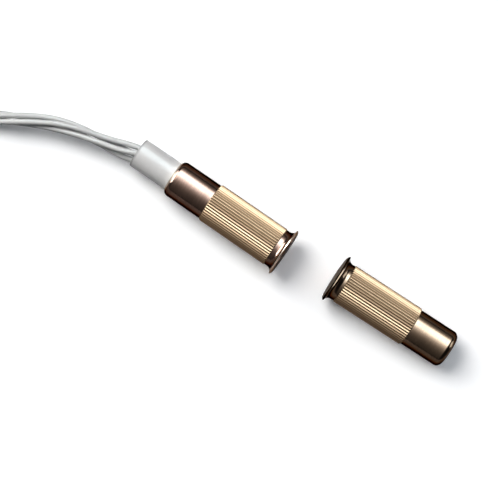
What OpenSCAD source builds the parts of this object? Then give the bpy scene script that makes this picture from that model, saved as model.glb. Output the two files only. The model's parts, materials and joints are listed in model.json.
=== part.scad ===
// Recessed magnetic contact for a door or window: a reed switch half on a four-wire lead, and a magnet half.
// Both halves are turned brass barrels with a knurled grip and a flared flange, pressed into drilled holes.
// Millimetres, +Z up. The halves lie on the floor z = 0, and the origin is the middle of their footprint.

/* [Turned barrels] */
// Length of each barrel, from its rear edge to its front face
barrel_len = 33; // [30:0.5:42]
// Diameter of the smooth rear section
body_d = 9.6; // [9.2:0.1:10.2]
// Length of the smooth rear section, with its rounded edge
smooth_len = 11; // [6:0.5:14]
// Rounding of the rear edge
tail_round = 1.5; // [0.6:0.1:1.8]
// Diameter over the crests of the knurl
knurl_d = 10.2; // [10:0.1:11]
// Depth of the grooves in the knurl
knurl_depth = 0.24; // [0.14:0.02:0.4]
// Number of straight ridges round the knurl
knurl_count = 46; // [32:1:60]
// Share of the pitch that each ridge's crest takes
crest_share = 0.12; // [0.06:0.02:0.4]
// Share of the pitch that each groove's floor takes
floor_share = 0.12; // [0.06:0.02:0.4]
// Bevel at both ends of the knurl
knurl_bevel = 0.3; // [0.1:0.05:0.5]
// Diameter of the neck between the knurl and the flare
neck_d = 9.9; // [9.4:0.1:10.2]
// Length of the straight part of the neck
neck_len = 0.6; // [0.3:0.1:2]
// Outer diameter of the flange
flange_d = 12.5; // [11.6:0.1:14]
// Radius of the concave flare behind the flange
flare_radius = 1.5; // [1.2:0.1:2.4]
// Width of the flange's outermost edge
rim_land = 0.1; // [0.1:0.05:0.6]
// Distance of that edge behind the front face
rim_back = 0.45; // [0.2:0.05:0.8]
// Rounding between the edge and the front face
rim_round = 1.1; // [0.9:0.1:2]
// Thickness of the closed front wall
front_wall = 1.5; // [1:0.1:3]

/* [Carrier and potting] */
// Outer diameter of the plastic carrier tube
carrier_d = 7.5; // [6.8:0.1:7.8]
// Wall of the carrier tube
carrier_wall = 0.6; // [0.4:0.05:0.8]
// Thickness of the carrier's closed front end
carrier_floor = 1; // [0.6:0.1:2]
// Length of the carrier that stands out of the barrel
carrier_out = 10.3; // [6:0.5:14]
// Rounding of the carrier's mouth
mouth_round = 0.28; // [0.1:0.02:0.34]
// Depth of the potting's face inside the carrier's mouth
mouth_depth = 4; // [1:0.5:5]
// Radial clearance between an insert and its bore
slip_fit = 0.05; // [0.02:0.01:0.1]
// Clearance between the potting and what it holds
bond_gap = 0.02; // [0.01:0.01:0.05]

/* [Reed switch] */
// Outer diameter of the glass capsule
capsule_d = 2.2; // [1.8:0.1:2.6]
// Length of the glass capsule
capsule_len = 14; // [11:0.5:16]
// Wall of the glass capsule
glass_wall = 0.32; // [0.2:0.02:0.4]
// Length of the glass seal round each lead
seal_len = 1.8; // [1.4:0.1:2.4]
// Diameter of the round reed leads
lead_d = 0.6; // [0.4:0.05:0.7]
// Free length of the rear lead outside the glass
rear_lead_len = 6.5; // [6.2:0.1:8]
// Free length of the front lead outside the glass
front_lead_len = 5; // [4:0.5:7]
// Width of the flattened reed blades
blade_w = 1; // [0.8:0.05:1.1]
// Thickness of the reed blades
blade_t = 0.2; // [0.14:0.01:0.24]
// Length over which the two blades face each other
blade_overlap = 1.2; // [0.6:0.1:2]
// Open gap between the blades
contact_gap = 0.12; // [0.06:0.01:0.14]
// Sideways place of the reed switch in the carrier
reed_side = 0.5; // [0.4:0.05:0.7]

/* [Wires and joints] */
// Outer diameter of each insulated wire
wire_d = 1.4; // [1.1:0.05:1.44]
// Diameter of the copper core in each wire
core_d = 0.5; // [0.3:0.05:0.5]
// Distance between neighbouring wires in the potting
wire_pitch = 1.5; // [1.46:0.02:1.7]
// Distance from the barrel's rear edge to the end of the insulation
strip_start = 1; // [0.5:0.1:1.5]
// Length of stripped core in front of the insulation
strip_len = 4; // [3.4:0.1:4.6]
// Length of each soldered joint
solder_len = 3; // [2:0.1:3.2]
// Thickness of the solder round a joint
solder_wall = 0.42; // [0.2:0.02:0.44]
// Diameter of the wire that runs back from the front lead
return_d = 0.4; // [0.3:0.05:0.5]
// Wall of the sleeve over the return wire
sleeve_wall = 0.18; // [0.1:0.02:0.24]
// Air between the capsule and the return wire's sleeve
sleeve_gap = 0.17; // [0.1:0.02:0.4]
// Half thickness of the splice that joins the two loop wires
splice_r = 0.45; // [0.35:0.05:0.5]

/* [Magnet] */
// Length of the magnet rod
magnet_len = 19; // [10:0.5:24]
// Depth of the rear plug inside the barrel's edge
plug_depth = 0.5; // [0.2:0.1:2]

/* [Layout] */
// Distance between the two front faces
face_gap = 13.2; // [3:0.1:20]
// Sideways step from the switch's front face to the magnet's
side_step = 2.13; // [0:0.1:5]
// Turn of the magnet half seen from above, in degrees
magnet_yaw = 2.1; // [0:0.1:5]

/* [Lead] */
// Diameter of the twisted bundle of four wires
bundle_d = 3.4; // [2.8:0.1:3.6]
// Half length of the hank, to the middle of its outer run
hank_half = 33; // [28:0.5:36]
// Swing of the hank's end loops
hank_swing = 23; // [20:0.5:26]
// Width of the tie's band
tie_w = 2.5; // [2:0.1:4]
// Thickness of the tie's band
tie_t = 0.9; // [0.6:0.1:1.2]
// Length of the tinned wire ends
tip_len = 7; // [4:0.5:10]
// Diameter of the tinned wire ends
tip_d = 0.6; // [0.4:0.05:0.8]

/* [Hidden] */
$fn = 64;
// Overlap of two forms that make up one solid
hair = 0.01;
// How far a cutter goes past what it cuts
past = 5;

// Barrel stations, measured along its axis from the rear edge
body_r = body_d / 2;
flange_r = flange_d / 2;
neck_r = neck_d / 2;
crest_r = knurl_d / 2;
root_r = crest_r - knurl_depth;
bore_r = carrier_d / 2 + slip_fit;
bore_end = barrel_len - front_wall;
rim_rear = barrel_len - rim_back - rim_land;
flare_rise = flange_r - neck_r;
flare_len = flare_rise < flare_radius
    ? sqrt(pow(flare_radius, 2) - pow(flare_radius - flare_rise, 2))
    : flare_radius;
flare_start = rim_rear - flare_len;
knurl_end = flare_start - neck_len;
rim_centre_r = flange_r - sqrt(pow(rim_round, 2) - pow(rim_round - rim_back, 2));

// Each half lies on its rim and on its rounded rear edge, so its axis leans up towards the flange
tail_centre_r = body_r - tail_round;
rest_a = flange_r - tail_centre_r;
rest_b = rim_rear - tail_round;
lean = acos(tail_round / norm([rest_a, rest_b])) - atan2(rest_b, rest_a);
rear_height = flange_r * cos(lean) - rim_rear * sin(lean);

// The footprint of the two halves is centred on the origin
mouth_centre_r = carrier_d / 2 - mouth_round;
reach_rear = (carrier_out - mouth_round) * cos(lean) + mouth_centre_r * sin(lean) + mouth_round;
tail_edge_r = max(bore_r, tail_centre_r);
tail_edge_s = tail_round - sqrt(pow(tail_round, 2) - pow(tail_edge_r - tail_centre_r, 2));
magnet_dx = cos(lean) * cos(magnet_yaw);
reach_tail = (barrel_len - tail_edge_s) * magnet_dx + tail_edge_r * sqrt(1 - pow(magnet_dx, 2));
footprint_len = reach_rear + barrel_len * cos(lean) + face_gap + reach_tail;
switch_x = reach_rear - footprint_len / 2;
switch_face_x = switch_x + barrel_len * cos(lean);
magnet_face_x = switch_face_x + face_gap;
face_height = rear_height + barrel_len * sin(lean);

// Places inside the carrier, in the switch half's own frame: x along the axis from the barrel's rear edge
carrier_r = carrier_d / 2;
carrier_bore_r = carrier_r - carrier_wall;
carrier_bore_end = bore_end - carrier_floor;
potting_start = mouth_depth - carrier_out;
core_r = core_d / 2;
lead_r = lead_d / 2;
wire_r = wire_d / 2;
wire_offset = wire_pitch / sqrt(2);
wire_centres = [[wire_offset, 0], [0, -wire_offset], [0, wire_offset], [-wire_offset, 0]];
core_end = strip_start + strip_len;
joint_shift = 0.25;
joint_mid = strip_start + strip_len / 2 + joint_shift;
joint_start = joint_mid - solder_len / 2;
joint_end = joint_mid + solder_len / 2;
core_to_capsule = 3;
capsule_start = core_end + core_to_capsule;
capsule_end = capsule_start + capsule_len;
capsule_r = capsule_d / 2;
rear_seal = capsule_start + seal_len;
front_seal = capsule_end - seal_len;
blade_len = (front_seal - rear_seal + blade_overlap) / 2;
blade_lift = (contact_gap + blade_t) / 2;
rear_lead_start = capsule_start - rear_lead_len;
front_lead_end = capsule_end + front_lead_len;
front_joint_share = 0.6;
front_joint = capsule_end + front_lead_len * front_joint_share;

// The return wire runs beside the capsule, in the plane through the capsule's axis and wire 2
return_r = return_d / 2;
sleeve_r = return_r + sleeve_wall;
return_reach = capsule_r + sleeve_gap + sleeve_r;
return_drop = sqrt(pow(return_reach, 2) - pow(reed_side, 2));
return_turn = atan2(-reed_side, return_drop);
return_bend = 0.6;
sleeve_clear = 0.4;
sleeve_start = joint_end + sleeve_clear;
sleeve_end = front_joint - return_bend - return_r - sleeve_clear;

// Route of the lead from the potting to the hank, and from the hank to its level end on the floor
bundle_r = bundle_d / 2;
lead_start = switch_point([potting_start, 0, 0]);
route_in = [
    lead_start,
    [-44.5, -1.6, 4.1],
    [-49.0, -2.8, 4.2],
    [-55.0, -4.1, 4.4],
    [-60.5, -5.4, 4.5],
    [-66.0, -7.3, 4.5],
    [-71.0, -9.8, 4.3],
    [-75.5, -12.4, 3.8],
    [-80.0, -14.8, 3.1],
    [-85.0, -16.4, 2.3],
    [-90.5, -17.2, 1.8],
    [-96.5, -17.4, 1.7]
];
route_out = [
    [-144.7, -16.3, 5.1],
    [-148.8, -17.3, 5.1],
    [-153.2, -17.5, 5.1],
    [-157.0, -17.3, 3.9],
    [-160.6, -16.9, 2.3],
    [-163.3, -16.5, 1.7],
    [-165.3, -16.2, 1.7]
];
strand_share = bundle_d / (wire_d + 2 * wire_offset);

// The hank is two layers of the bundle high and two bundles wide at its waist, with slack for the tie
hank_centre = [-123.5, -8.2];
hank_slack = 0.2;
hank_height = tie_t + 2 * bundle_d + hank_slack;
waist_r = bundle_d + hank_slack;
waist_share = waist_r / (hank_swing + bundle_d);
tie_press = 0.1;
tie_inner = waist_r - tie_press;
tie_outer = tie_inner + tie_t;
tie_height = hank_height + tie_t;
tie_head = [4.1, 3.4, 4.2];

// A point of the switch half's own frame in the part's frame
function switch_point(p) = [
    switch_x + p.x * cos(lean) - p.z * sin(lean),
    p.y - side_step / 2,
    rear_height + p.x * sin(lean) + p.z * cos(lean)
];
function unit(v) = v / norm(v);
function heading(route, i) = i == 0
    ? unit(route[1] - route[0])
    : i == len(route) - 1
        ? unit(route[i] - route[i - 1])
        : unit(route[i + 1] - route[i - 1]);
function ring(centre, along, r, sides) = let(
    side = unit(cross([0, 0, 1], along)),
    up = cross(along, side)
) [for (k = [0 : sides - 1]) let(a = 360 * (k + 0.5) / sides) centre + r * (cos(a) * side + sin(a) * up)];

// Places what is drawn in a half's own frame, whose x axis runs forward from the rear edge
module in_switch_half() {
    translate([switch_x, -side_step / 2, rear_height])
        rotate([0, -lean, 0])
            children();
}
module in_magnet_half() {
    translate([magnet_face_x, side_step / 2, face_height])
        rotate([0, 0, 180 + magnet_yaw])
            rotate([0, -lean, 0])
                translate([-barrel_len, 0, 0])
                    children();
}

// A round bar of radius r from x = from to x = to, at the place [y, z]
module bar(r, from, to, at = [0, 0]) {
    translate([from, at.x, at.y])
        rotate([0, 90, 0])
            cylinder(h = to - from, r = r);
}

// Turns a profile drawn as [radius, station] about the x axis
module turned() {
    rotate([0, 90, 0])
        rotate_extrude($fn = 96)
            children();
}

module tail_profile() {
    translate([0, tail_round])
        square([body_r, smooth_len - tail_round]);
    square([tail_centre_r, tail_round]);
    translate([tail_centre_r, tail_round])
        intersection() {
            circle(r = tail_round);
            translate([0, -tail_round])
                square(tail_round);
        }
}
module flange_profile() {
    difference() {
        translate([0, flare_start])
            square([flange_r, rim_rear + rim_land - flare_start]);
        translate([neck_r + flare_radius, flare_start])
            circle(r = flare_radius);
        translate([neck_r + flare_radius, flare_start])
            square([flange_r, flare_len]);
    }
    intersection() {
        translate([0, rim_rear])
            square([flange_r, barrel_len - rim_rear]);
        union() {
            square([rim_centre_r, barrel_len]);
            translate([rim_centre_r, barrel_len - rim_round])
                circle(r = rim_round);
        }
    }
}
module barrel_profile() {
    tail_profile();
    translate([0, smooth_len - hair])
        square([min(body_r, root_r), knurl_end - smooth_len + 2 * hair]);
    translate([0, knurl_end])
        square([neck_r, flare_start - knurl_end + hair]);
    flange_profile();
}
module knurl_ridges() {
    pitch = 360 / knurl_count;
    crest = pitch * crest_share / 2;
    groove = pitch / 2;
    root = pitch * floor_share / 2;
    tooth = [[crest_r, -crest], [crest_r, crest], [root_r, groove - root], [root_r, groove + root]];
    points = [
        for (k = [0 : knurl_count - 1])
            for (corner = tooth)
                let(a = k * pitch + corner[1]) corner[0] * [cos(a), sin(a)]
    ];
    intersection() {
        translate([smooth_len, 0, 0])
            rotate([0, 90, 0])
                linear_extrude(height = knurl_end - smooth_len)
                    polygon(points);
        turned()
            polygon([
                [0, smooth_len],
                [crest_r - knurl_bevel, smooth_len],
                [crest_r + hair, smooth_len + knurl_bevel],
                [crest_r + hair, knurl_end - knurl_bevel],
                [crest_r - knurl_bevel, knurl_end],
                [0, knurl_end]
            ]);
    }
}

// One barrel: rounded smooth tail, straight knurl, neck, concave flare and closed front, bored from the rear
module barrel() {
    difference() {
        union() {
            turned()
                barrel_profile();
            knurl_ridges();
        }
        bar(bore_r, -past, bore_end);
    }
}
module switch_barrel() {
    color("#b08d4c")
        in_switch_half()
            barrel();
}
module magnet_barrel() {
    color("#b08d4c")
        in_magnet_half()
            barrel();
}

// A moulded cup, closed at the front, that slides into the switch barrel and stands out behind it
module carrier_tube() {
    color("#e4e6e6")
        in_switch_half()
            difference() {
                turned() {
                    translate([0, mouth_round - carrier_out])
                        square([carrier_r, bore_end + carrier_out - mouth_round]);
                    translate([0, -carrier_out])
                        square([mouth_centre_r, mouth_round]);
                    translate([mouth_centre_r, mouth_round - carrier_out])
                        intersection() {
                            circle(r = mouth_round);
                            translate([0, -mouth_round])
                                square(mouth_round);
                        }
                }
                bar(carrier_bore_r, -carrier_out - past, carrier_bore_end);
            }
}

// Outer form of the capsule: a tube whose ends are melted down round the leads
module capsule_form(grow = 0) {
    translate([0, reed_side, 0])
        turned() {
            translate([0, capsule_start + capsule_r])
                square([capsule_r + grow, capsule_len - capsule_d]);
            for (end = [capsule_start + capsule_r, capsule_end - capsule_r])
                translate([0, end])
                    intersection() {
                        circle(r = capsule_r + grow);
                        translate([0, -capsule_d])
                            square(2 * capsule_d);
                    }
        }
}
module glass_capsule() {
    color("#bfe0d0", 0.5)
        in_switch_half()
            difference() {
                capsule_form();
                bar(capsule_r - glass_wall, rear_seal, front_seal, [reed_side, 0]);
                bar(lead_r + bond_gap, rear_lead_start, front_lead_end, [reed_side, 0]);
            }
}

module lead_form(from, to, grow = 0) {
    bar(lead_r + grow, from, to, [reed_side, 0]);
}
module front_reed_lead() {
    color("#c8c4b4")
        in_switch_half()
            lead_form(front_seal, front_lead_end);
}
module rear_reed_lead() {
    color("#c8c4b4")
        in_switch_half()
            lead_form(rear_lead_start, rear_seal);
}

// A blade starts round, where it leaves the glass, and is flattened along the rest of its length
module reed_blade(root_x, way, lift) {
    stub = lead_d;
    intersection() {
        bar(lead_r, min(root_x, root_x + way * stub), max(root_x, root_x + way * stub), [reed_side, 0]);
        translate([root_x - stub, reed_side - lead_r, lift - lead_r])
            cube([2 * stub, lead_d, lead_d]);
    }
    translate([root_x, reed_side, lift])
        translate([way * (blade_len + stub / 2) / 2, 0, 0])
            cube([blade_len - stub / 2, blade_w, blade_t], center = true);
}
module front_reed_blade() {
    color("#d8c27a")
        in_switch_half()
            reed_blade(front_seal, -1, blade_lift);
}
module rear_reed_blade() {
    color("#d8c27a")
        in_switch_half()
            reed_blade(rear_seal, 1, -blade_lift);
}

// The return wire: beside the capsule, then up to the front lead round a short bend
module return_form(r) {
    translate([0, reed_side, 0])
        rotate([return_turn, 0, 0])
            translate([0, 0, -return_reach]) {
                bar(r, joint_start, front_joint - return_bend);
                translate([front_joint - return_bend, 0, return_bend])
                    rotate([90, 0, 0])
                        rotate([0, 0, -90])
                            rotate_extrude(angle = 90)
                                translate([return_bend, 0])
                                    circle(r = r, $fn = 32);
                translate([front_joint, 0, return_bend])
                    cylinder(h = return_reach - return_bend - lead_r - bond_gap, r = r);
            }
}
module sleeve_form(grow = 0) {
    translate([0, reed_side, 0])
        rotate([return_turn, 0, 0])
            translate([0, 0, -return_reach])
                bar(sleeve_r + grow, sleeve_start - grow, sleeve_end + grow);
}
module return_wire() {
    color("#c98a5a")
        in_switch_half()
            return_form(return_r);
}
module return_sleeve() {
    color("#3a3a3c")
        in_switch_half()
            difference() {
                sleeve_form();
                return_form(return_r + bond_gap);
            }
}

// A bead of solder along a joint, drawn down at both ends
bead_taper = 0.45;
slim_wall = solder_wall * 0.8;
touch_gap = bond_gap / 4;
module solder_bead(r, from, to, at, grow = 0) {
    end = r * bead_taper;
    translate([0, at.x, at.y])
        turned()
            polygon([
                [0, from - grow],
                [r - end + grow, from - grow],
                [r + grow, from + end],
                [r + grow, to - end],
                [r - end + grow, to + grow],
                [0, to + grow]
            ]);
}
rear_joint_at = (wire_centres[0] + [reed_side, 0]) / 2;
rear_bead_r = norm(wire_centres[0] - [reed_side, 0]) / 2 + solder_wall;
return_joint_at = (wire_centres[1] + [0, -return_drop]) / 2;
return_bead_r = norm(wire_centres[1] - [0, -return_drop]) / 2 + slim_wall;
front_bead_r = lead_r + slim_wall;
module rear_bead(grow = 0) {
    solder_bead(rear_bead_r, joint_start, joint_end, rear_joint_at, grow);
}
module return_bead(grow = 0) {
    solder_bead(return_bead_r, joint_start, joint_end, return_joint_at, grow);
}
module front_bead(grow = 0) {
    solder_bead(front_bead_r, front_joint - solder_len / 4, front_joint + solder_len / 4, [reed_side, 0], grow);
}
module splice_form(grow = 0) {
    a = wire_centres[2];
    b = wire_centres[3];
    for (at = [a, b])
        bar(splice_r + grow, joint_start - grow, joint_end + grow, at);
    translate([joint_mid, (a.x + b.x) / 2, (a.y + b.y) / 2])
        rotate([atan2(a.y - b.y, a.x - b.x), 0, 0])
            cube([solder_len + 2 * grow, norm(a - b), 2 * (splice_r + grow)], center = true);
}
module rear_solder() {
    color("#b9bcc0")
        in_switch_half()
            difference() {
                rear_bead();
                core_form(0, touch_gap);
                lead_form(rear_lead_start, rear_seal, touch_gap);
            }
}
module return_solder() {
    color("#b9bcc0")
        in_switch_half()
            difference() {
                return_bead();
                core_form(1, bond_gap);
                return_form(return_r + bond_gap);
            }
}
module front_solder() {
    color("#b9bcc0")
        in_switch_half()
            difference() {
                front_bead();
                lead_form(front_seal, front_lead_end, bond_gap);
                return_form(return_r + bond_gap);
            }
}
module loop_splice() {
    color("#b9bcc0")
        in_switch_half()
            difference() {
                splice_form();
                core_form(2, bond_gap);
                core_form(3, bond_gap);
            }
}

// Insulated wires in the potting, and their copper cores
module core_form(i, grow = 0) {
    bar(core_r + grow, potting_start - grow, core_end + grow, wire_centres[i]);
}
module wire_form(i, grow = 0) {
    bar(wire_r + grow, potting_start - grow, strip_start + grow, wire_centres[i]);
}
module wire(i) {
    color("#eceeee")
        in_switch_half()
            difference() {
                wire_form(i);
                core_form(i, bond_gap);
            }
}
module core(i) {
    color("#c98a5a")
        in_switch_half()
            core_form(i);
}
module wire_1() { wire(0); }
module wire_2() { wire(1); }
module wire_3() { wire(2); }
module wire_4() { wire(3); }
module core_1() { core(0); }
module core_2() { core(1); }
module core_3() { core(2); }
module core_4() { core(3); }

// Resin that fills the carrier round everything in it
module switch_potting() {
    color("#d9d6c8")
        in_switch_half()
            difference() {
                bar(carrier_bore_r - bond_gap, potting_start, carrier_bore_end);
                for (i = [0 : 3]) {
                    wire_form(i, bond_gap);
                    core_form(i, bond_gap);
                }
                capsule_form(bond_gap);
                lead_form(rear_lead_start - bond_gap, front_lead_end + bond_gap, bond_gap);
                return_form(return_r + bond_gap);
                sleeve_form(bond_gap);
                rear_bead(bond_gap);
                return_bead(bond_gap);
                front_bead(bond_gap);
                splice_form(bond_gap);
            }
}

module magnet_rod() {
    color("#6d7075")
        in_magnet_half()
            bar(bore_r - slip_fit, bore_end - magnet_len, bore_end);
}
module magnet_plug() {
    color("#d9d6c8")
        in_magnet_half()
            bar(bore_r - bond_gap, plug_depth, bore_end - magnet_len);
}

// A tube along a route, with one ring of corners at each of its points
module tube(route, r, start_along) {
    sides = 8;
    count = len(route);
    rings = [
        for (i = [0 : count - 1])
            ring(route[i], i == 0 ? start_along : heading(route, i), r, sides)
    ];
    points = [for (one = rings) for (p = one) p];
    walls = [
        for (i = [0 : count - 2])
            for (k = [0 : sides - 1])
                let(n = (k + 1) % sides)
                    [i * sides + k, i * sides + n, (i + 1) * sides + n, (i + 1) * sides + k]
    ];
    caps = [
        [for (k = [sides - 1 : -1 : 0]) k],
        [for (k = [0 : sides - 1]) (count - 1) * sides + k]
    ];
    polyhedron(points = points, faces = concat(walls, caps), convexity = 6);
}
module lead_bundle() {
    color("#eceeee") {
        tube(route_in, bundle_r, [-cos(lean), 0, -sin(lean)]);
        tube(route_out, bundle_r, heading(route_out, 0));
    }
}

// Outline of the hank: two end loops drawn in to a waist where the tie holds it
module hank_outline() {
    polygon([
        for (a = [0 : 10 : 350])
            [
                (hank_half + bundle_r) * cos(a),
                (hank_swing + bundle_d) * sin(a) * (waist_share + (1 - waist_share) * pow(cos(a), 2))
            ]
    ]);
}
module lead_hank() {
    color("#eceeee")
        translate(hank_centre)
            difference() {
                linear_extrude(height = hank_height)
                    hank_outline();
                translate([0, 0, tie_t - past / 2])
                    cube([tie_w, 2 * (waist_r + past), past], center = true);
                for (side = [-1, 1])
                    translate([0, side * (tie_inner + past / 2), 0])
                        cube([tie_w, past, 2 * hank_height + past], center = true);
            }
}

// Nylon tie: a closed band round the hank's waist with its locking head at the side
module hank_tie() {
    color("#f2f2ee")
        translate([hank_centre.x, hank_centre.y, tie_height / 2]) {
            difference() {
                cube([tie_w, 2 * tie_outer, tie_height], center = true);
                cube([tie_w + past, 2 * tie_inner, tie_height - 2 * tie_t], center = true);
            }
            translate([0, tie_outer + tie_head.y / 2 - hair, 0])
                cube(tie_head, center = true);
        }
}

// The four stripped and tinned ends of the lead
module tinned_ends() {
    last = route_out[len(route_out) - 1];
    along = heading(route_out, len(route_out) - 1);
    color("#c9ccce")
        translate(last)
            rotate([0, 0, atan2(along.y, along.x)])
                for (at = wire_centres)
                    bar(tip_d / 2, 0, tip_len, at * strand_share);
}

switch_barrel();
carrier_tube();
glass_capsule();
front_reed_lead();
rear_reed_lead();
front_reed_blade();
rear_reed_blade();
return_wire();
return_sleeve();
front_solder();
rear_solder();
return_solder();
loop_splice();
switch_potting();
wire_1();
wire_2();
wire_3();
wire_4();
core_1();
core_2();
core_3();
core_4();
magnet_barrel();
magnet_rod();
magnet_plug();
lead_bundle();
lead_hank();
hank_tie();
tinned_ends();
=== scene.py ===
"""Looks of the recessed magnetic contact: a reed switch half on its four-wire lead, and the magnet half.

Lengths in capitals are millimetres unless their comment says otherwise, in the CAD model's frame:
X runs along the switch barrel towards the magnet, Z is up and the floor is z = 0.
"""
import json
import math
import random

import bpy
from mathutils import Matrix, Vector


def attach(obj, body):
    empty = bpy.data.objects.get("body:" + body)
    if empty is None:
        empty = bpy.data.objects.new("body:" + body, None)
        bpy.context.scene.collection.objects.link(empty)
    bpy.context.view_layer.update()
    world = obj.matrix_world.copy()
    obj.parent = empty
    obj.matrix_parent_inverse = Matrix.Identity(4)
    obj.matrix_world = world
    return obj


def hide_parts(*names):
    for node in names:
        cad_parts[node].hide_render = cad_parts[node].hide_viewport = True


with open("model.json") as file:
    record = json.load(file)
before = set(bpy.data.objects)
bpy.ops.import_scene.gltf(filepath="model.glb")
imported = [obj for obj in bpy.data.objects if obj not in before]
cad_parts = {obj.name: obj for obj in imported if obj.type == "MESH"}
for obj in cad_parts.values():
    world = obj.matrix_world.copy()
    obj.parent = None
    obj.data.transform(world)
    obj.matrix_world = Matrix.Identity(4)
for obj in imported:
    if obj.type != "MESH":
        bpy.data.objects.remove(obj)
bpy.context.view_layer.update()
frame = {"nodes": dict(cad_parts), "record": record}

MM = 0.001
UP = Vector((0, 0, 1))

# Stations along each barrel, from its rear edge
SMOOTH_MIDDLE = 6.25  # where the record's mounts lie
SMOOTH_END = 11.0
KNURL_END = 30.36
FACE = 33.0

# Radii of the flange and of the knurl's ridges
FLANGE_R = 6.25
CREST_R = 5.1
ROOT_R = 4.86
RIDGES = 46

# The lead: where it starts, and its route to the hank and from the hank to its end
POTTING_FACE = -6.3
MOUTH = -10.3
WIRE_D = 1.4
ROUTE_IN = [
    (-44.5, -1.6, 4.1), (-49.0, -2.8, 4.2), (-55.0, -4.1, 4.4), (-60.5, -5.4, 4.5), (-66.0, -7.3, 4.5),
    (-71.0, -9.8, 4.3), (-75.5, -12.4, 3.8), (-80.0, -14.8, 3.1), (-85.0, -16.4, 2.3), (-90.5, -17.2, 1.8),
    (-96.5, -17.4, 1.7),
]
ROUTE_OUT = [
    (-144.7, -16.3, 5.1), (-148.8, -17.3, 5.1), (-153.2, -17.5, 5.1), (-157.0, -17.3, 3.9),
    (-160.6, -16.9, 2.3), (-163.3, -16.5, 1.7), (-165.3, -16.2, 1.7),
]
HANK_CENTRE = (-123.5, -8.2)
HANK_HALF = 33.0
HANK_SWING = 23.0
HANK_WAIST = 1.78  # from the hank's middle line to a run at its waist
HANK_FROM, HANK_TO = 35, 490  # degrees
CLIMB_FROM, CLIMB_TO = 335, 375  # degrees between which the second turn climbs on the first
LAYER_LOW, LAYER_HIGH = 1.7, 5.1  # heights of the first and the second turn's middle line

# The hank's tie, and the bared ends of the wires
TIE_T = 0.9
TIE_W = 2.5
TIE_INNER = 3.5  # half width of the tie's window
TIE_HEIGHT = 8.8
TIE_LIFT = 0.02  # from the floor
TIE_HEAD = (4.1, 3.4, 4.2)
TIE_TAIL = (TIE_W, 1.1, 1.4)
TIE_TAIL_DROP = 0.5  # from the head's underside to the tail's middle
TEETH, TOOTH_STEP = 5, 1.2
TOOTH = (TIE_W * 0.6, 0.5, 0.1)
TOOTH_DEPTH = 0.06  # from the band's top down to a tooth's middle
TIP_LEN = 7.0
TIP_D = 0.6
TIP_STRANDS = 7  # one in the middle and six round it
TIP_SIDES = 8
TIP_TURN = 0.7  # radians that the strands turn in a millimetre
TIP_TUCK = 0.4  # how far the strands start inside the insulation


# Camera: nearly straight above, a little to the -Y side, turned so that the barrels lie across the picture
PICTURE_TURN = math.radians(34.94)
CAMERA_SIDE = (0.012, -0.1, 1)
CAMERA_TARGET = Vector((-8.84, -5.22, 6.0)) * MM
CAMERA_DISTANCE = 0.6  # metres
PICTURE_WIDTH = 0.1209  # metres across the picture at the target
SENSOR = 36.0
CLIP_START = 0.01  # metres


def make_camera():
    back = Vector(CAMERA_SIDE).normalized()
    right = Vector((math.cos(PICTURE_TURN), math.sin(PICTURE_TURN), 0))
    right = (right - back * right.dot(back)).normalized()
    data = bpy.data.cameras.new("camera")
    data.sensor_width = SENSOR
    data.lens = SENSOR * CAMERA_DISTANCE / PICTURE_WIDTH
    data.clip_start = CLIP_START
    camera = bpy.data.objects.new("camera", data)
    axes = Matrix((right, back.cross(right), back)).transposed()
    camera.matrix_world = Matrix.Translation(CAMERA_TARGET + back * CAMERA_DISTANCE) @ axes.to_4x4()
    bpy.context.scene.collection.objects.link(camera)
    bpy.context.scene.camera = camera


class Half:
    """One barrel's own frame, from the record's mount on its smooth body."""

    def __init__(self, mount_name):
        mount = next(m for m in frame["record"]["mounts"] if m["name"] == mount_name)
        self.forward = -Vector(mount["axis"]).normalized()
        self.side = UP.cross(self.forward).normalized()
        self.up = self.forward.cross(self.side)
        self.rear = Vector(mount["pos_m"]) - self.forward * SMOOTH_MIDDLE * MM

    def point(self, station, side=0.0, up=0.0):
        return self.rear + (self.forward * station + self.side * side + self.up * up) * MM


# ---------------------------------------------------------------- forms

def add_piece(name, points, faces, sharp=40, slot=None):
    """A mesh piece from points in metres, shaded smooth but for edges sharper than the angle."""
    mesh = bpy.data.meshes.new(name)
    mesh.from_pydata([tuple(p) for p in points], [], faces)
    mesh.validate()
    mesh.shade_smooth()
    mesh.set_sharp_from_angle(angle=math.radians(sharp))
    piece = bpy.data.objects.new(name, mesh)
    bpy.context.scene.collection.objects.link(piece)
    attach(piece, "switch_half")
    return piece


CURVE_STEPS = 16  # between two points of a route


def smooth_line(points, step):
    """A smooth curve through the points, as points an even step apart."""
    dense = []
    for i in range(len(points) - 1):
        p0, p1, p2, p3 = (points[min(max(k, 0), len(points) - 1)] for k in range(i - 1, i + 3))
        for k in range(CURVE_STEPS):
            t = k / CURVE_STEPS
            dense.append(0.5 * (2 * p1 + (p2 - p0) * t + (2 * p0 - 5 * p1 + 4 * p2 - p3) * t * t
                                + (3 * p1 - p0 - 3 * p2 + p3) * t ** 3))
    dense.append(points[-1])
    along = [0.0]
    for a, b in zip(dense, dense[1:]):
        along.append(along[-1] + (b - a).length)
    count = round(along[-1] / step)
    line, k = [], 0
    for i in range(count + 1):
        s = along[-1] * i / count
        while k < len(dense) - 2 and along[k + 1] < s:
            k += 1
        line.append(dense[k].lerp(dense[k + 1], (s - along[k]) / (along[k + 1] - along[k])))
    return line


def headings(line, first=None):
    """The unit direction at each point of a line."""
    result = []
    for i in range(len(line)):
        a, b = line[max(i - 1, 0)], line[min(i + 1, len(line) - 1)]
        result.append((b - a).normalized())
    if first:
        result[0] = first
    return result


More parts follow.
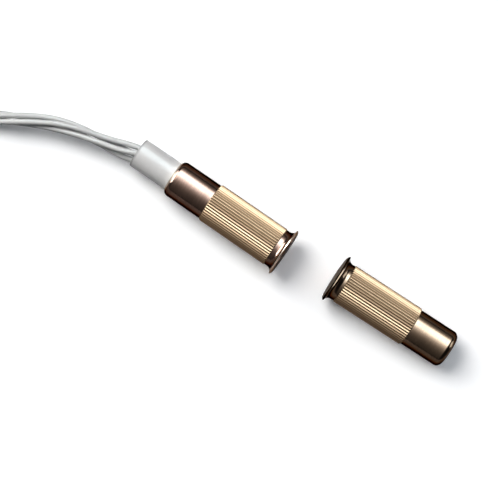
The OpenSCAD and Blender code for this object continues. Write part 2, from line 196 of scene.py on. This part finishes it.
def tube(line, radius, sides, first=None, side_hints=None):
    """Points and faces of a round tube along a line, with closed ends."""
    points, faces = [], []
    along = headings(line, first)
    side = None
    for i, (p, t) in enumerate(zip(line, along)):
        hint = side_hints[i] if side_hints else side if side is not None else UP.cross(t)
        side = (hint - t * hint.dot(t)).normalized()
        up = t.cross(side)
        for k in range(sides):
            a = 2 * math.pi * k / sides
            points.append(p + (side * math.cos(a) + up * math.sin(a)) * radius)
    for i in range(len(line) - 1):
        for k in range(sides):
            n = (k + 1) % sides
            faces.append((i * sides + k, i * sides + n, (i + 1) * sides + n, (i + 1) * sides + k))
    faces.append(tuple(range(sides - 1, -1, -1)))
    faces.append(tuple((len(line) - 1) * sides + k for k in range(sides)))
    return points, faces


def join(parts):
    """Several (points, faces) as one."""
    points, faces = [], []
    for some_points, some_faces in parts:
        start = len(points)
        points.extend(some_points)
        faces.extend(tuple(start + i for i in face) for face in some_faces)
    return points, faces


def between(value, keys, eased=True):
    """A value read from (position, value) keys, smoothly or in straight lines."""
    for (a, from_value), (b, to_value) in zip(keys, keys[1:]):
        if value <= b:
            t = max(0.0, (value - a) / (b - a))
            return from_value + (to_value - from_value) * (t * t * (3 - 2 * t) if eased else t)
    return keys[-1][1]


# ---------------------------------------------------------------- lead

STRANDS = 4
STRAND_STEP = 0.45
STRAND_SIDES = 12
# The bundle's turn in degrees, at distances along it: slow where it is seen, then a turn every 44 mm
TWIST = [(0, 0), (4, 0), (50, 207), (400, 3071)]
# Distance of the wires' centres from the bundle's line, at distances along it
SPREAD = [
    (0, 1.06), (1, 1.06), (4, 1.7), (6, 1.65), (14, 1.06), (24, 1.16), (34, 1.1), (52, 0.96), (400, 0.96),
]
# Each wire also strays by slow waves, from a little way behind the carrier's mouth
LOOSENESS = 0.05
LOOSE_FROM, LOOSE_OVER = 5, 10
WAVES = 3
WAVE_RATES = (0.02, 0.09)  # radians per millimetre
WAVE_PHASES = (0, 6.28)
HUMP_REACH = 6.0  # half the width of the hump with which the runs pass over the tie's band


def hank_point(degrees):
    """A point of the hank's middle line: flat loops that narrow to a waist where the tie holds them."""
    t = math.radians(degrees)
    share = HANK_WAIST / HANK_SWING
    swing = HANK_SWING * math.sin(t) * (share + (1 - share) * math.cos(t) ** 2)
    height = between(degrees, [(CLIMB_FROM, LAYER_LOW), (CLIMB_TO, LAYER_HIGH), (HANK_TO + 1, LAYER_HIGH)])
    lift = TIE_T * math.exp(-(HANK_HALF * math.cos(t) / HUMP_REACH) ** 2)
    return Vector((HANK_CENTRE[0] + HANK_HALF * math.cos(t), HANK_CENTRE[1] - swing, height + lift)) * MM


def lead_line(start):
    """The lead's middle line, from the potting to the end of its insulation."""
    points = [start] + [Vector(p) * MM for p in ROUTE_IN]
    points += [hank_point(degrees) for degrees in range(HANK_FROM + 10, HANK_TO, 10)]
    points += [Vector(p) * MM for p in ROUTE_OUT]
    return smooth_line(points, STRAND_STEP * MM)


def strand_lines(line, start_heading):
    """The centreline of each wire, which stays on the floor, and a direction across it at each point."""
    along = headings(line, start_heading)
    chance = random.Random(7)
    waves = [
        [(chance.uniform(*WAVE_RATES), chance.uniform(*WAVE_PHASES)) for _ in range(WAVES)]
        for _ in range(STRANDS)
    ]
    lines, hints = [], []
    for strand in range(STRANDS):
        points, across = [], []
        for i, (p, t) in enumerate(zip(line, along)):
            s = i * STRAND_STEP
            a = math.pi / 2 * strand + math.radians(between(s, TWIST, eased=False))
            side = t.cross(UP).normalized()
            outward = side * math.cos(a) + side.cross(t) * math.sin(a)
            ease = min(1.0, max(0.0, (s - LOOSE_FROM) / LOOSE_OVER))
            stray = sum(1 + math.sin(rate * s + phase) for rate, phase in waves[strand])
            r = (between(s, SPREAD) + LOOSENESS * ease * stray / WAVES) * MM
            place = p + outward * r
            place.z = max(place.z, WIRE_D / 2 * MM)
            points.append(place)
            across.append(outward)
        lines.append(points)
        hints.append(across)
    return lines, hints


def make_lead(half):
    """The four wires as one cord, with their bare ends and the hank's tie."""
    start = half.point(POTTING_FACE)
    heading = -half.forward
    line = lead_line(start)
    lines, hints = strand_lines(line, heading)
    parts = [
        tube(points, WIRE_D / 2 * MM, STRAND_SIDES, heading, across) for points, across in zip(lines, hints)
    ]
    lead = add_piece("four_wire_lead", *join(parts), slot="wire_insulation")
    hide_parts("lead_bundle", "lead_hank")

    tips = make_tips(lines)
    tie = make_tie()
    return lead, tips, tie


def make_tips(lines):
    """The bared end of each wire: seven tinned strands laid round each other."""
    strand_r = TIP_D / 6
    steps = 14
    parts = []
    for number, points in enumerate(lines):
        end = points[-1]
        along = (points[-1] - points[-3]).normalized()
        side = UP.cross(along).normalized()
        up = along.cross(side)
        for k in range(TIP_STRANDS):
            ring_r = 2 * strand_r if k else 0.0
            path = []
            for i in range(steps + 1):
                s = TIP_LEN * i / steps
                a = k * math.pi / 3 + s * TIP_TURN + number
                place = side * math.cos(a) + up * math.sin(a)
                path.append(end + along * (s - TIP_TUCK) * MM + place * ring_r * MM)
            parts.append(tube(path, strand_r * MM, TIP_SIDES))
    tips = add_piece("tinned_wire_ends", *join(parts), slot="tinned_copper")
    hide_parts("tinned_ends")
    return tips


def rounded_ring(half_y, half_z, radius, corner_steps=6):
    """A rectangle with rounded corners in the YZ plane, as (y, z) pairs."""
    ring = []
    for quarter, (sy, sz) in enumerate([(1, 1), (-1, 1), (-1, -1), (1, -1)]):
        for k in range(corner_steps + 1):
            a = math.pi / 2 * (quarter + k / corner_steps)
            y = sy * (half_y - radius) + radius * math.cos(a)
            z = sz * (half_z - radius) + radius * math.sin(a)
            ring.append((y, z))
    return ring


def loop_band(centre, inner, outer, width, edge):
    """A closed band: sections round the loop, each a rectangle with bevelled corners."""
    points, faces = [], []
    count = len(inner)
    for (yi, zi), (yo, zo) in zip(inner, outer):
        dy, dz = yo - yi, zo - zi
        for x, share in [
            (-width / 2 + edge, 0), (width / 2 - edge, 0), (width / 2, 0.3), (width / 2, 0.7),
            (width / 2 - edge, 1), (-width / 2 + edge, 1), (-width / 2, 0.7), (-width / 2, 0.3),
        ]:
            points.append((centre + Vector((x, yi + dy * share, zi + dz * share))) * MM)
    for i in range(count):
        j = (i + 1) % count
        for k in range(8):
            n = (k + 1) % 8
            faces.append((i * 8 + k, j * 8 + k, j * 8 + n, i * 8 + n))
    return points, faces


def bevelled_box(centre, size, edge):
    """A box whose corners and edges are cut at 45 degrees."""
    layers = []
    for z, inset in [(-0.5, edge), (-0.5, 0), (0.5, 0), (0.5, edge)]:
        hz = size[2] / 2
        level = math.copysign(hz if inset else hz - edge, z)
        hx, hy = size[0] / 2 - inset, size[1] / 2 - inset
        cut = edge * 0.6
        layers.append([
            Vector((x, y, level)) for x, y in [
                (hx - cut, -hy), (hx, -hy + cut), (hx, hy - cut), (hx - cut, hy),
                (-hx + cut, hy), (-hx, hy - cut), (-hx, -hy + cut), (-hx + cut, -hy),
            ]
        ])
    points = [(centre + p) * MM for layer in layers for p in layer]
    faces = [tuple(range(7, -1, -1)), tuple(range(24, 32))]
    for i in range(3):
        for k in range(8):
            n = (k + 1) % 8
            faces.append((i * 8 + k, i * 8 + n, (i + 1) * 8 + n, (i + 1) * 8 + k))
    return points, faces


def make_tie():
    """A nylon cable tie round the hank's waist: a band with teeth, its locking head and its tail's cut end."""
    middle = Vector((HANK_CENTRE[0], HANK_CENTRE[1], TIE_HEIGHT / 2 + TIE_LIFT))
    outer = rounded_ring(TIE_INNER + TIE_T, TIE_HEIGHT / 2, radius=1.5)
    inner = rounded_ring(TIE_INNER, TIE_HEIGHT / 2 - TIE_T, radius=0.7)
    head_at = middle + Vector((0, TIE_INNER + TIE_T + TIE_HEAD[1] / 2, 0))
    tail_at = head_at + Vector((0, 0, -TIE_HEAD[2] / 2 - TIE_TAIL_DROP))
    parts = [
        loop_band(middle, inner, outer, TIE_W, edge=0.25),
        bevelled_box(head_at, TIE_HEAD, edge=0.4),
        bevelled_box(tail_at, TIE_TAIL, edge=0.15),
    ]
    for k in range(TEETH):
        tooth_at = middle + Vector((0, (k - TEETH // 2) * TOOTH_STEP, TIE_HEIGHT / 2 - TOOTH_DEPTH))
        parts.append(bevelled_box(tooth_at, TOOTH, edge=0.04))
    tie = add_piece("nylon_tie", *join(parts), sharp=30, slot="tie_nylon")
    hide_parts("hank_tie")
    return tie


# ---------------------------------------------------------------- materials

def colour(r, g, b):
    return (r, g, b, 1.0)


def grey(v):
    return colour(v, v, v)


class Nodes:
    """A node tree, emptied and built anew. Each call adds a node and returns its output socket."""

    def __init__(self, tree):
        self.tree = tree
        self.tree.nodes.clear()

    def add(self, kind, inputs=(), out=0, **settings):
        node = self.tree.nodes.new("ShaderNode" + kind)
        for key, value in settings.items():
            setattr(node, key, value)
        for key, value in dict(inputs).items():
            if isinstance(value, bpy.types.NodeSocket):
                self.tree.links.new(value, node.inputs[key])
            else:
                node.inputs[key].default_value = value
        return node.outputs[out] if node.outputs else None

    def math(self, operation, a, b=0.0):
        return self.add("Math", {0: a, 1: b}, operation=operation)

    def vector(self, operation, a, b, out=0):
        return self.add("VectorMath", {0: a, 1: b}, out, operation=operation)

    def scale(self, a, amount):
        return self.add("VectorMath", {0: a, "Scale": amount}, operation="SCALE")

    def unit(self, a):
        return self.add("VectorMath", {0: a}, operation="NORMALIZE")

    def ramp(self, value, low, high, to_low=0.0, to_high=1.0):
        """value goes smoothly from to_low at low to to_high at high."""
        inputs = {"Value": value, "From Min": low, "From Max": high, "To Min": to_low, "To Max": to_high}
        return self.add("MapRange", inputs, interpolation_type="SMOOTHSTEP")

    def mix(self, share, a, b):
        """Colour a, turned into colour b by the share from 0 to 1."""
        return self.add("Mix", {0: share, 6: a, 7: b}, out=2, data_type="RGBA")


class Finish(Nodes):
    """A material built from nodes. place is in metres in the CAD model's frame, and mm in millimetres."""

    def __init__(self, name):
        self.material = bpy.data.materials.new(name)
        self.material.use_nodes = True
        super().__init__(self.material.node_tree)
        self.place = self.add("TexCoord", out="Object")
        self.mm = self.scale(self.place, 1 / MM)

    def tint(self, colour, value, low, high):
        """A colour made darker or lighter, from low to high times, as value goes from 0 to 1."""
        return self.scale(colour[:3], self.ramp(value, 0.0, 1.0, low, high))

    def noise(self, place, scale, detail=3.0, roughness=0.5):
        inputs = {"Vector": place, "Scale": scale, "Detail": detail, "Roughness": roughness}
        return self.add("TexNoise", inputs, out="Fac")

    def bump(self, height, depth, strength=1.0, normal=None):
        """depth is the height, in millimetres, of what goes from 0 to 1."""
        inputs = {"Height": height, "Distance": depth * MM, "Strength": strength}
        if normal is not None:
            inputs["Normal"] = normal
        return self.add("Bump", inputs)

    def shade(self, **inputs):
        """Ends the material with a Principled shader, whose sockets are named with _ for spaces."""
        named = {key.replace("_", " "): value for key, value in inputs.items()}
        shader = self.add("BsdfPrincipled", named)
        self.add("OutputMaterial", {"Surface": shader})
        return self.material


# The knurl: its ridges' two tones, and what it turns into where it is stained and in its grooves, whose darker
# tone is part dirt and part painted shade
RIDGE_TONES = colour(0.108, 0.0645, 0.0378), colour(0.08, 0.0473, 0.0282)
STAIN_TONE = colour(0.07, 0.041, 0.0238)
GROOVE_DIRT_AND_SHADE_TONE = colour(0.022, 0.0127, 0.007)
# What the brass mirrors at a low angle is tinted too, on its dark parts and on the knurl
DARK_EDGE_TINT = colour(0.2, 0.16, 0.13)
KNURL_EDGE_TINT = colour(0.8, 0.7, 0.55)
# Where the flange's outer ring begins and is complete, and the dull front face inside its rim
RIM_STATIONS = (KNURL_END + 0.8, KNURL_END + 1.6)
RIM_RADII = (FLANGE_R - 0.9, FLANGE_R - 0.3)
FACE_STATIONS = (FACE - 0.03, FACE - 0.005)
FACE_RADII = (FLANGE_R - 0.5, FLANGE_R - 0.4)
FACE_DULLNESS = 0.25
FLANK_WEAR = 0.2  # how far the ridges' flanks lean towards round, in shading
END_WEAR_AND_HIGHLIGHT = 0.6  # how far the lighter ring at the rear edge reaches, part wear and part painted highlight


def barrel_brass(name, half, dark_tone, worn_tone, rim_tone, end_wear_and_highlight_tone):
    """Turned brass: a bright, matt knurl, with grooves darker than its ridges, between smooth dark parts.

    The smooth parts are burnished to dark_tone, and worn to worn_tone in small patches, with fine
    turning lines. rim_tone is the flange's outer ring, lighter on the switch as a painted highlight,
    and end_wear_and_highlight_tone a lighter ring at the rear edge, part wear and part painted
    highlight. The flat front face is duller.
    """
    f = Finish(name)
    from_rear = f.vector("SUBTRACT", f.place, tuple(half.rear))
    station, across, above = (
        f.math("MULTIPLY", f.vector("DOT_PRODUCT", from_rear, tuple(axis), out="Value"), 1 / MM)
        for axis in (half.forward, half.side, half.up)
    )
    angle = f.math("ARCTAN2", above, across)
    radius = f.math("SQRT", f.math("ADD", f.math("POWER", across, 2), f.math("POWER", above, 2)))

    knurl = f.math(
        "MULTIPLY",
        f.ramp(station, SMOOTH_END - 0.02, SMOOTH_END + 0.05),
        f.ramp(station, KNURL_END - 0.05, KNURL_END + 0.02, 1.0, 0.0),
    )
    groove = f.ramp(radius, ROOT_R + 0.02, CREST_R - 0.06, 1.0, 0.0)
    ridge = f.math("ROUND", f.math("MULTIPLY", angle, RIDGES / (2 * math.pi)))
    ridge_tone = f.add("TexWhiteNoise", {"W": ridge}, noise_dimensions="1D")

    turned = f.add("CombineXYZ", {0: station, 1: radius, 2: f.math("MULTIPLY", angle, 0.15)})
    lines = f.noise(turned, 9.0, 4.0, 0.7)
    broad = f.noise(f.mm, 0.22, 3.0)
    fine = f.noise(f.mm, 2.6, 4.0, 0.6)

    dark = f.mix(f.ramp(broad, 0.35, 0.7), dark_tone, colour(*(v * 0.84 for v in dark_tone[:3])))
    dark = f.mix(f.ramp(fine, 0.5, 0.75, 0.0, 0.6), dark, worn_tone)
    dark = f.scale(dark, f.ramp(lines, 0.35, 0.65, 0.88, 1.12))
    # The flange's outer ring takes rim_tone: lighter on the switch, a painted highlight; darker on the magnet
    rim = f.math("MULTIPLY", f.ramp(station, *RIM_STATIONS), f.ramp(radius, *RIM_RADII))
    dark = f.mix(rim, dark, rim_tone)
    # The lighter ring at the rear edge: part wear, part painted highlight
    dark = f.mix(f.ramp(station, END_WEAR_AND_HIGHLIGHT * 0.5, END_WEAR_AND_HIGHLIGHT, 1.0, 0.0), dark, end_wear_and_highlight_tone)
    bright = f.mix(f.ramp(ridge_tone, 0.0, 1.0, 0.0, 0.5), *RIDGE_TONES)
    bright = f.mix(f.ramp(fine, 0.5, 0.8, 0.0, 0.4), bright, STAIN_TONE)
    # Darker in the grooves: part dirt, part painted shade
    bright = f.mix(f.math("MULTIPLY", groove, 0.75), bright, GROOVE_DIRT_AND_SHADE_TONE)

    roughness = f.add("Mix", {
        0: knurl,
        2: f.ramp(lines, 0.3, 0.7, 0.1, 0.17),
        3: f.ramp(fine, 0.3, 0.8, 0.34, 0.4),
    })
    face = f.math("MULTIPLY", f.ramp(station, *FACE_STATIONS), f.ramp(radius, *FACE_RADII, 1.0, 0.0))
    roughness = f.math("ADD", roughness, f.math("MULTIPLY", face, FACE_DULLNESS))
    height = f.add("Mix", {0: knurl, 2: lines, 3: fine})
    # The ridges' flanks are worn rounder than they were cut
    outward = f.vector("ADD", f.scale(half.side, across), f.scale(half.up, above))
    outward = f.scale(f.unit(outward), f.math("MULTIPLY", knurl, FLANK_WEAR))
    worn = f.unit(f.vector("ADD", f.add("NewGeometry", out="Normal"), outward))
    return f.shade(
        Base_Color=f.mix(knurl, dark, bright), Metallic=1.0, Roughness=roughness,
        Specular_Tint=f.mix(knurl, DARK_EDGE_TINT, KNURL_EDGE_TINT),
        Normal=f.bump(height, 0.0007, 0.4, worn),
    )


MOUTH_SHADE = 0.55  # painted shade at the cut end, as a share of the full tone
MOUTH_SHADE_STATIONS = (0.15, 0.7)  # over which it gives way to the full tone


def moulded(name, base, roughness, speck=1.5, shift=0.05, relief=0.004, cut_end=None, **more):
    """A cast or moulded material: faint mottling, specks and an uneven gloss.

    cut_end is a half, where the edge of the carrier's mouth is darkened with painted shade.
    """
    f = Finish(name)
    mottle = f.noise(f.mm, 0.5, 3.0)
    speckle = f.noise(f.mm, speck * 3, 3.0, 0.65)
    tone = f.tint(base, mottle, 1 - shift, 1 + shift)
    darker = tuple(v * 0.88 for v in base[:3])
    tone = f.mix(f.ramp(speckle, 0.6, 0.75, 0.0, 0.5), tone, colour(*darker))
    # Painted shade along the edge of the carrier's mouth
    if cut_end:
        from_mouth = f.vector("SUBTRACT", f.place, tuple(cut_end.point(MOUTH)))
        along = f.vector("DOT_PRODUCT", from_mouth, tuple(cut_end.forward), out="Value")
        low, high = (station * MM for station in MOUTH_SHADE_STATIONS)
        tone = f.scale(tone, f.ramp(along, low, high, MOUTH_SHADE, 1.0))
    return f.shade(
        Base_Color=tone, Roughness=f.ramp(speckle, 0.3, 0.7, roughness * 0.85, roughness * 1.15),
        Normal=f.bump(f.noise(f.mm, speck * 2, 2.0), relief, 0.6), **more,
    )


def metal(name, base, roughness, grain=3.0, relief=0.004, patina=0.75):
    """A bare metal with uneven gloss and a darker bloom in places."""
    f = Finish(name)
    bloom = f.noise(f.mm, 0.9, 4.0, 0.6)
    fine = f.noise(f.mm, grain, 4.0, 0.6)
    tone = f.mix(f.ramp(bloom, 0.45, 0.75, 0.0, 0.8), base, colour(*(v * patina for v in base[:3])))
    return f.shade(
        Base_Color=tone, Metallic=1.0, Roughness=f.ramp(fine, 0.3, 0.7, roughness * 0.8, roughness * 1.25),
        Normal=f.bump(fine, relief, 0.6),
    )


def glass(name, base):
    """Clear glass, faintly tinted, with the streaks of a drawn tube."""
    f = Finish(name)
    streaks = f.noise(f.vector("MULTIPLY", f.mm, (0.3, 2.0, 2.0)), 1.0, 3.0)
    return f.shade(
        Base_Color=f.tint(base, streaks, 0.94, 1.04), Roughness=f.ramp(streaks, 0.3, 0.7, 0.02, 0.07),
        IOR=1.5, Transmission_Weight=0.9, Normal=f.bump(streaks, 0.01, 0.4),
    )


def dress(materials, barrels):
    """Gives every CAD node the material of its slot in the record."""
    for subpart in frame["record"]["subparts"]:
        node = frame["nodes"][subpart["node"]]
        material = barrels.get(subpart["node"]) or materials[subpart["material_slot"]]
        node.data.materials.clear()
        node.data.materials.append(material)


# ---------------------------------------------------------------- stage

FLOOR_SIZE = 6.0  # metres
FLOOR_TONE = 0.97  # as the camera, metal and glass see it
FLOOR_BOUNCE = 0.05  # as it lights the object from below
FLOOR_GLOW = 0.09  # what it adds to that
FLOOR_NEAR, FLOOR_FAR = 0.22, 0.7  # metres from the middle over which the paper turns into plain white
WORLD_TONE = (0.083, 0.09, 0.099)
HORIZON = 0.05  # the sine of the height up to which metal mirrors the world as white


def make_floor():
    """Pale paper, which is dark for rough surfaces, so that it doesn't light the object from below."""
    f = Finish("studio_paper")
    rays = f.add("LightPath").node
    seen = f.math("MAXIMUM", rays.outputs["Is Camera Ray"], rays.outputs["Is Glossy Ray"])
    seen = f.math("MAXIMUM", seen, rays.outputs["Is Transmission Ray"])
    away = f.ramp(f.vector("LENGTH", f.place, (0, 0, 0), out="Value"), FLOOR_NEAR, FLOOR_FAR)
    tone = f.mix(seen, grey(FLOOR_BOUNCE), f.mix(away, grey(FLOOR_TONE), grey(0)))
    glow = f.add("MapRange", {"Value": away, "To Min": FLOOR_GLOW, "To Max": 1.0})
    f.shade(
        Base_Color=tone, Roughness=0.9, Specular_IOR_Level=0.0, Emission_Color=grey(1),
        Emission_Strength=f.math("MULTIPLY", seen, glow),
    )
    half = FLOOR_SIZE / 2
    corners = [(-half, -half, 0), (half, -half, 0), (half, half, 0), (-half, half, 0)]
    mesh = bpy.data.meshes.new("floor")
    mesh.from_pydata(corners, [], [(0, 1, 2, 3)])
    mesh.materials.append(f.material)
    floor = bpy.data.objects.new("floor", mesh)
    bpy.context.scene.collection.objects.link(floor)


def make_world():
    """Dim light from all round, which looks white where it is seen behind the floor's edge."""
    world = bpy.data.worlds.new("studio")
    world.use_nodes = True
    f = Nodes(world.node_tree)
    direction = f.add("TexCoord", out="Generated")
    height = f.add("SeparateXYZ", {0: direction}, out="Z")
    low = f.ramp(height, HORIZON * 0.4, HORIZON, 1.0, 0.0)
    rays = f.add("LightPath").node
    mirrored = f.math("MAXIMUM", rays.outputs["Is Glossy Ray"], rays.outputs["Is Transmission Ray"])
    white = f.math("MAXIMUM", rays.outputs["Is Camera Ray"], f.math("MULTIPLY", mirrored, low))
    tone = f.mix(white, colour(*WORLD_TONE), grey(1))
    background = f.add("Background", {"Color": tone, "Strength": 1.0})
    f.add("OutputWorld", {"Surface": background})
    bpy.context.scene.world = world


# Lights: each points at LIGHT_AIM, and its sizes and distance are in metres
LIGHT_AIM = Vector((0, 0, 0.005))
LIGHT_DISTANCE = 3.0
# The two cards over the barrels: how far they reach along X, as shares of their distance, and how
# bright they are, as a share of CARD_RADIANCE, by degrees from the vertical towards +Y
CARD_SPAN = (-0.8, 0.3)
CARD_RADIANCE = 21.0
CARD_GLOW = [
    (-83, 0.014), (-70, 0.017), (-55, 0.024), (-41, 0.037), (-29, 0.06), (-17, 0.11), (-6, 0.22), (6, 0.42),
    (13, 0.64), (20, 0.92), (27, 1.0), (47.5, 1.0), (54.5, 0.55), (61, 0.17), (70, 0.06), (80, 0.03),
]
SIDE_CARD_TINT = (0.78, 0.95, 1.0)  # cool, so that its reflections in the brass look nearly white


def soft_light(name, direction, size, radiance, tint=(1, 1, 1), across=None):
    """A rectangular soft light that points at the object. size is along across, and the other way."""
    data = bpy.data.lights.new(name, "AREA")
    data.shape = "RECTANGLE"
    data.size, data.size_y = size
    data.energy = radiance * 4 * size[0] * size[1]
    data.color = tint
    light = bpy.data.objects.new(name, data)
    back = Vector(direction).normalized()
    side = Vector(across or UP.cross(back)).normalized()
    side = (side - back * side.dot(back)).normalized()
    axes = Matrix((side, back.cross(side), back)).transposed()
    light.matrix_world = Matrix.Translation(LIGHT_AIM + back * LIGHT_DISTANCE) @ axes.to_4x4()
    light.visible_camera = False
    bpy.context.scene.collection.objects.link(light)
    return light


def card(name, low, high):
    """A wide card over the barrels, from low to high degrees from the vertical towards +Y."""
    middle, half = math.radians((low + high) / 2), math.radians((high - low) / 2)
    size = ((CARD_SPAN[1] - CARD_SPAN[0]) * LIGHT_DISTANCE, 2 * LIGHT_DISTANCE * math.tan(half))
    direction = (0, math.sin(middle), math.cos(middle))
    light = soft_light(name, direction, size, CARD_RADIANCE, across=(1, 0, 0))
    light.location.x += sum(CARD_SPAN) / 2 * LIGHT_DISTANCE
    light.visible_diffuse = False
    light.data.use_nodes = True
    f = Nodes(light.data.node_tree)
    v = f.add("SeparateXYZ", {0: f.add("NewGeometry", out="Parametric")}, out="Y")
    slope = f.add("MapRange", {"Value": v, "To Min": -math.tan(half), "To Max": math.tan(half)})
    angle = f.math("ADD", f.math("ARCTANGENT", slope), middle)
    first, last = CARD_GLOW[0][0], CARD_GLOW[-1][0]
    limits = {"From Min": math.radians(first), "From Max": math.radians(last)}
    along = f.add("MapRange", {"Value": angle, **limits})
    glow = f.add("ValToRGB", {0: along})
    stops = glow.node.color_ramp.elements
    for degrees, _ in CARD_GLOW[1:-1]:
        stops.new((degrees - first) / (last - first))
    for stop, (_, share) in zip(stops, CARD_GLOW):
        cool = share ** 0.5  # the brighter it is, the cooler, so that the brass shows it nearly white
        stop.color = (share, share * (1.01 + 0.3 * cool), share * (0.95 + 0.53 * cool), 1)
    emission = f.add("Emission", {"Color": glow, "Strength": 1.0})
    f.add("OutputLight", {"Surface": emission})


def make_lights():
    """Two soft lights, and four cards that light only what mirrors them.

    The cards shape the highlights on metal and plastic, and cast no shadow on the floor: two over the
    barrels, with the graded glow of a studio's ceiling, and one beyond each end of the object.
    """
    soft_light("key_light", (-0.82, 0.14, 1.0), size=(2.1, 2.1), radiance=5.85, tint=(1.0, 0.99, 0.975))
    soft_light("back_light", (0.0, 0.5, 1.0), size=(2.6, 3.0), radiance=0.95, tint=(0.88, 0.92, 1.0))
    card("card_high", 5, 80)
    card("card_low", -83, 5)
    for name, direction, size, radiance in [
        ("card_left", (-0.85, 0.0, 0.35), (3.4, 2.0), 34.0),
        ("card_right", (0.8, 0.55, 0.35), (1.6, 1.6), 10.0),
    ]:
        light = soft_light(name, direction, size, radiance, SIDE_CARD_TINT)
        light.visible_diffuse = False


# ---------------------------------------------------------------- the scene

make_camera()
switch = Half("switch_body")
magnet = Half("magnet_body")
lead, tips, tie = make_lead(switch)

# The pale plastics' weak gloss, warm enough to offset the cool cards
GLOSS = {"Specular_IOR_Level": 0.08, "Specular_Tint": colour(1.0, 0.86, 0.78)}
materials = {
    "carrier_plastic": moulded("carrier_plastic", colour(0.59, 0.58, 0.567), 0.3, cut_end=switch, **GLOSS),
    "capsule_glass": glass("capsule_glass", colour(0.78, 0.9, 0.82)),
    "reed_alloy": metal("reed_alloy", colour(0.72, 0.7, 0.66), 0.3),
    "blade_plating": metal("blade_plating", colour(0.82, 0.72, 0.45), 0.25),
    "solder": metal("solder", colour(0.68, 0.69, 0.7), 0.32, grain=1.6, relief=0.02),
    "copper": metal("copper", colour(0.75, 0.45, 0.3), 0.3),
    "wire_insulation": moulded(
        "wire_insulation", colour(0.51, 0.502, 0.49), 0.36, speck=1.2, relief=0.006, **GLOSS),
    "sleeving": moulded("sleeving", colour(0.03, 0.03, 0.032), 0.5),
    "potting_resin": moulded("potting_resin", colour(0.78, 0.76, 0.7), 0.45, shift=0.08, relief=0.02),
    "magnet_alloy": metal("magnet_alloy", colour(0.36, 0.37, 0.39), 0.45, patina=0.6),
    "tie_nylon": moulded("tie_nylon", colour(0.86, 0.86, 0.82), 0.4, Subsurface_Weight=0.1),
    "tinned_copper": metal("tinned_copper", colour(0.74, 0.74, 0.73), 0.28),
}
barrels = {
    "switch_barrel": barrel_brass(
        "barrel_brass_switch", switch,
        dark_tone=colour(0.06, 0.036, 0.0273), worn_tone=colour(0.076, 0.048, 0.0387),
        # rim_tone here is a painted highlight on the flange's rim
        rim_tone=colour(0.3, 0.2275, 0.185), end_wear_and_highlight_tone=colour(0.5, 0.4, 0.33),
    ),
    "magnet_barrel": barrel_brass(
        "barrel_brass_magnet", magnet,
        dark_tone=colour(0.056, 0.0355, 0.0238), worn_tone=colour(0.076, 0.051, 0.035),
        rim_tone=colour(0.03, 0.0195, 0.0135), end_wear_and_highlight_tone=colour(0.09, 0.065, 0.048),
    ),
}
dress(materials, barrels)
for piece, name in [(lead, "wire_insulation"), (tips, "tinned_copper"), (tie, "tie_nylon")]:
    piece.data.materials.append(materials[name])

make_floor()
make_world()
make_lights()
bpy.context.scene.view_settings.view_transform = "Standard"
